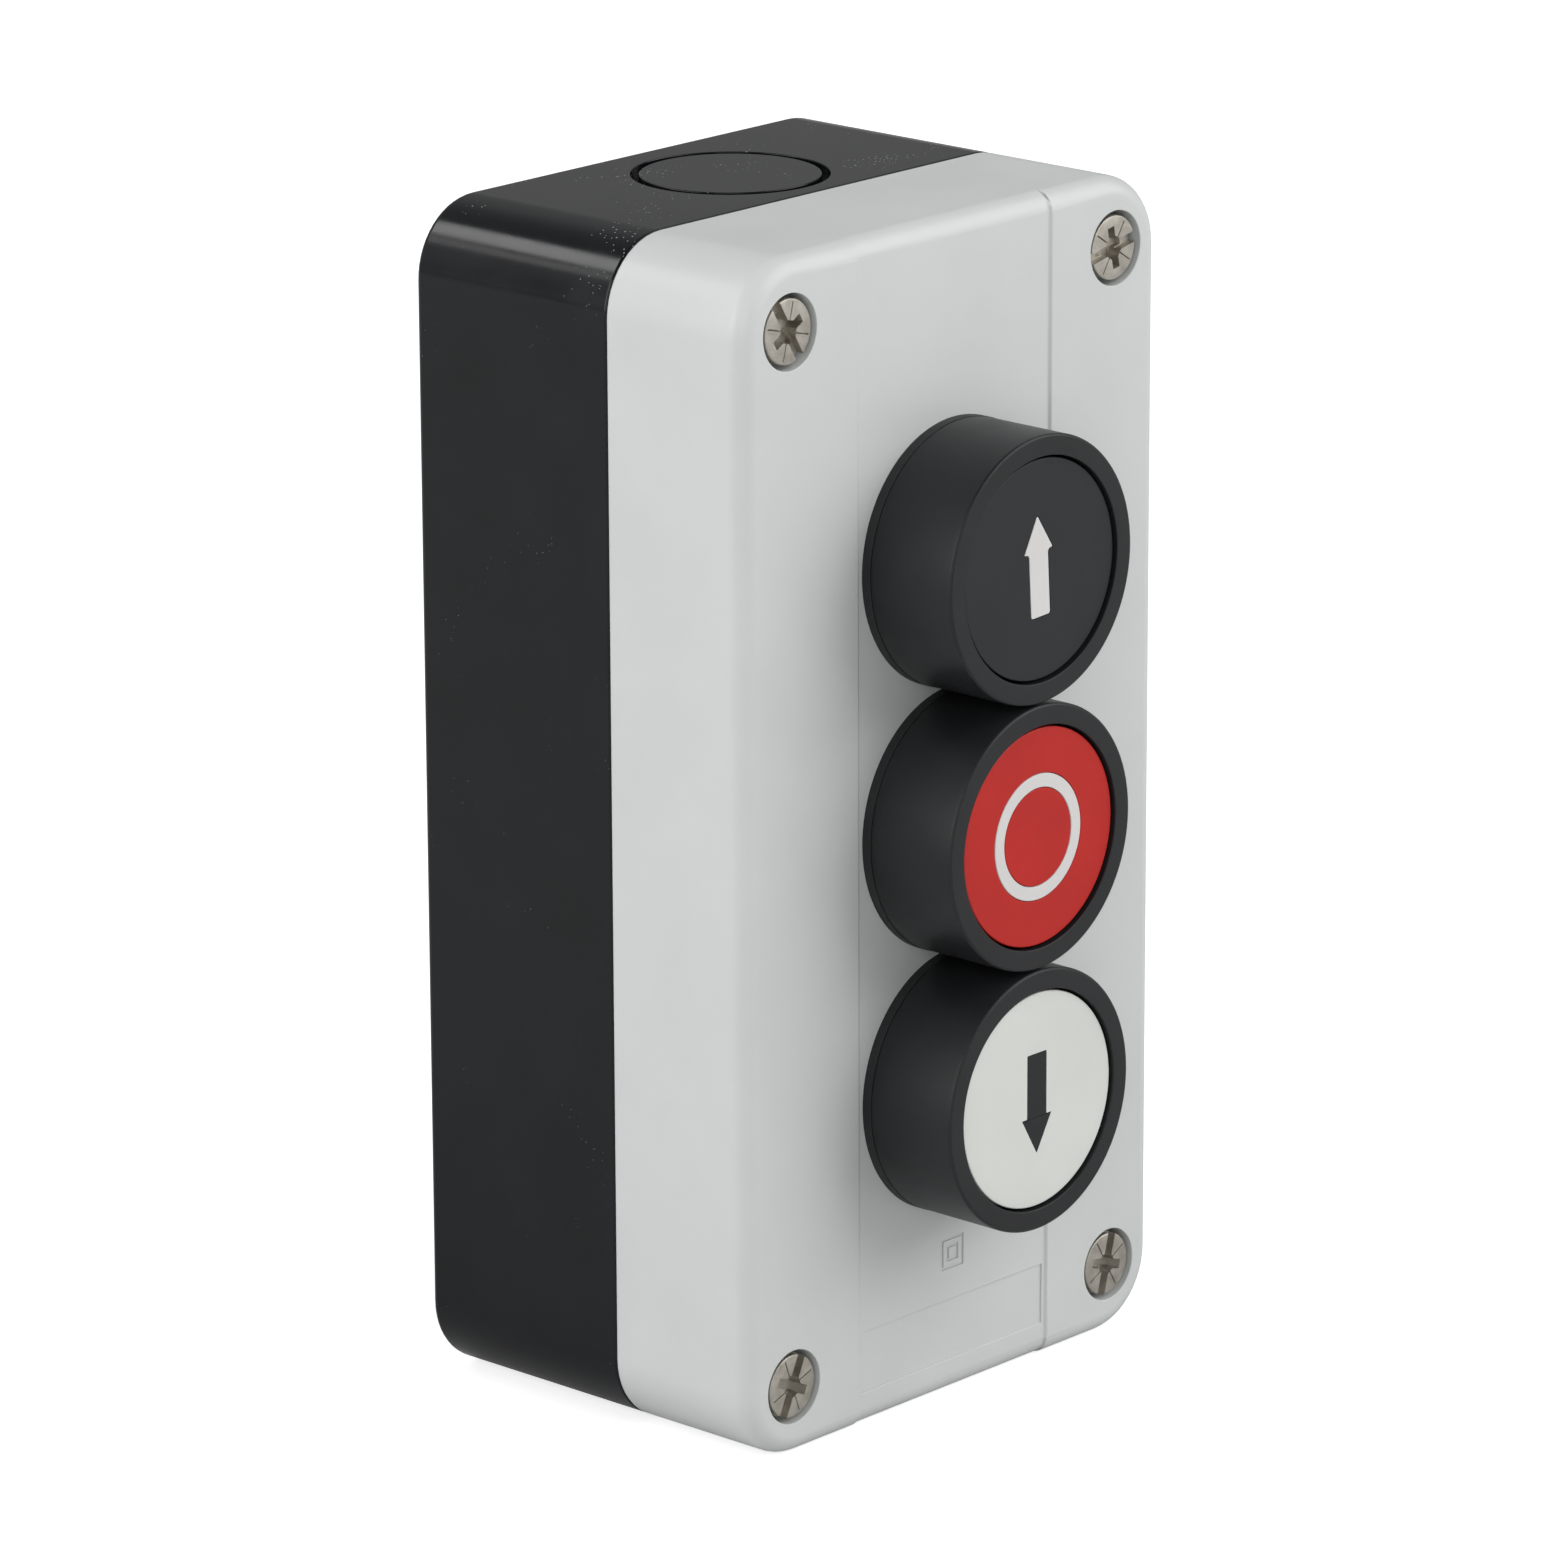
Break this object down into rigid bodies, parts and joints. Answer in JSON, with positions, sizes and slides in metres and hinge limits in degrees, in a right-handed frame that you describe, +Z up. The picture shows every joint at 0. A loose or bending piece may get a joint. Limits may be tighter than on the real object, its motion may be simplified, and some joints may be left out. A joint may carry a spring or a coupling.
{
  "type": "pushbutton control station",
  "caption": "Surface-mounted control station: black base, grey cover and a column of round pushbuttons with arrow and ring symbols.",
  "frame": {"origin": "centre of the flat rear face that lies on the wall", "axes": "+X to the right seen from the front, +Y into the wall, +Z up along the column of buttons"},
  "size_m": [0.068, 0.0604, 0.134],
  "materials": {
    "base_black": "glossy moulded",
    "cover_grey": "satin moulded",
    "rubber_grey": "matte",
    "rubber_black": "matte",
    "nickel_steel": "nickel plated",
    "bezel_black": "fine satin",
    "cap_black": "fine satin",
    "cap_red": "satin",
    "cap_white": "satin",
    "inlay_white": "satin",
    "inlay_black": "satin",
    "nut_grey": "matte",
    "stem_natural": "matte",
    "spring_steel": "drawn wire",
    "block_dark_grey": "matte",
    "block_grey": "matte",
    "plunger_green": "matte",
    "plunger_red": "matte",
    "contact_brass": "stamped",
    "zinc_steel": "zinc plated"
  },
  "bodies": {
    "enclosure": {"base": "base_black", "cover": "cover_grey", "cover_gasket": "rubber_grey", "cover_screws": "nickel_steel", "cover_screw_seals": "rubber_black", "up_bezel": "bezel_black", "up_panel_gasket": "rubber_black", "up_fixing_nut": "nut_grey", "up_stem_seal": "rubber_black", "up_return_spring": "spring_steel", "up_contact_base": "block_dark_grey", "up_contact_cover": "block_grey", "up_plunger_spring": "spring_steel", "up_terminals": "contact_brass", "up_terminal_saddles": "zinc_steel", "up_terminal_screws": "zinc_steel", "stop_bezel": "bezel_black", "stop_panel_gasket": "rubber_black", "stop_fixing_nut": "nut_grey", "stop_stem_seal": "rubber_black", "stop_return_spring": "spring_steel", "stop_contact_base": "block_dark_grey", "stop_contact_cover": "block_grey", "stop_plunger_spring": "spring_steel", "stop_terminals": "contact_brass", "stop_terminal_saddles": "zinc_steel", "stop_terminal_screws": "zinc_steel", "down_bezel": "bezel_black", "down_panel_gasket": "rubber_black", "down_fixing_nut": "nut_grey", "down_stem_seal": "rubber_black", "down_return_spring": "spring_steel", "down_contact_base": "block_dark_grey", "down_contact_cover": "block_grey", "down_plunger_spring": "spring_steel", "down_terminals": "contact_brass", "down_terminal_saddles": "zinc_steel", "down_terminal_screws": "zinc_steel"},
    "up_button": {"up_cap": "cap_black", "up_symbol": "inlay_white", "up_stem": "stem_natural"},
    "up_contact_plunger": {"up_plunger": "plunger_green", "up_bridge_spring": "spring_steel"},
    "up_contact_bridge": {"up_bridge": "contact_brass"},
    "stop_button": {"stop_cap": "cap_red", "stop_symbol": "inlay_white", "stop_stem": "stem_natural"},
    "stop_contact_plunger": {"stop_plunger": "plunger_red", "stop_bridge_spring": "spring_steel"},
    "stop_contact_bridge": {"stop_bridge": "contact_brass"},
    "down_button": {"down_cap": "cap_white", "down_symbol": "inlay_black", "down_stem": "stem_natural"},
    "down_contact_plunger": {"down_plunger": "plunger_green", "down_bridge_spring": "spring_steel"},
    "down_contact_bridge": {"down_bridge": "contact_brass"}
  },
  "joints": [
    {"name": "up_press", "type": "slide", "parent": "enclosure", "child": "up_button", "axis": [0, 1, 0], "range_m": [0, 0.0043], "stiffness_N_per_m": 400, "springref_m": -0.008, "deforming": ["up_return_spring"]},
    {"name": "up_plunger_slide", "type": "slide", "parent": "enclosure", "child": "up_contact_plunger", "axis": [0, 1, 0], "range_m": [0, 0.0043], "deforming": ["up_plunger_spring"]},
    {"name": "up_bridge_slide", "type": "slide", "parent": "enclosure", "child": "up_contact_bridge", "axis": [0, 1, 0], "range_m": [0, 0.0025], "deforming": ["up_bridge_spring"]},
    {"name": "stop_press", "type": "slide", "parent": "enclosure", "child": "stop_button", "axis": [0, 1, 0], "range_m": [0, 0.0043], "stiffness_N_per_m": 400, "springref_m": -0.008, "deforming": ["stop_return_spring"]},
    {"name": "stop_plunger_slide", "type": "slide", "parent": "enclosure", "child": "stop_contact_plunger", "axis": [0, 1, 0], "range_m": [0, 0.0043], "deforming": ["stop_plunger_spring"]},
    {"name": "stop_bridge_slide", "type": "slide", "parent": "enclosure", "child": "stop_contact_bridge", "axis": [0, 1, 0], "range_m": [0, 0.0025], "deforming": ["stop_bridge_spring"]},
    {"name": "down_press", "type": "slide", "parent": "enclosure", "child": "down_button", "axis": [0, 1, 0], "range_m": [0, 0.0043], "stiffness_N_per_m": 400, "springref_m": -0.008, "deforming": ["down_return_spring"]},
    {"name": "down_plunger_slide", "type": "slide", "parent": "enclosure", "child": "down_contact_plunger", "axis": [0, 1, 0], "range_m": [0, 0.0043], "deforming": ["down_plunger_spring"]},
    {"name": "down_bridge_slide", "type": "slide", "parent": "enclosure", "child": "down_contact_bridge", "axis": [0, 1, 0], "range_m": [0, 0.0025], "deforming": ["down_bridge_spring"]}
  ],
  "couplings": [
    {"joint": "up_plunger_slide", "follows": "up_press", "ratio": 1},
    {"joint": "up_bridge_slide", "follows": "up_press", "ratio": 0.5813},
    {"joint": "stop_plunger_slide", "follows": "stop_press", "ratio": 1},
    {"joint": "stop_bridge_slide", "follows": "stop_press", "ratio": 0.5813},
    {"joint": "down_plunger_slide", "follows": "down_press", "ratio": 1},
    {"joint": "down_bridge_slide", "follows": "down_press", "ratio": 0.5813}
  ]
}
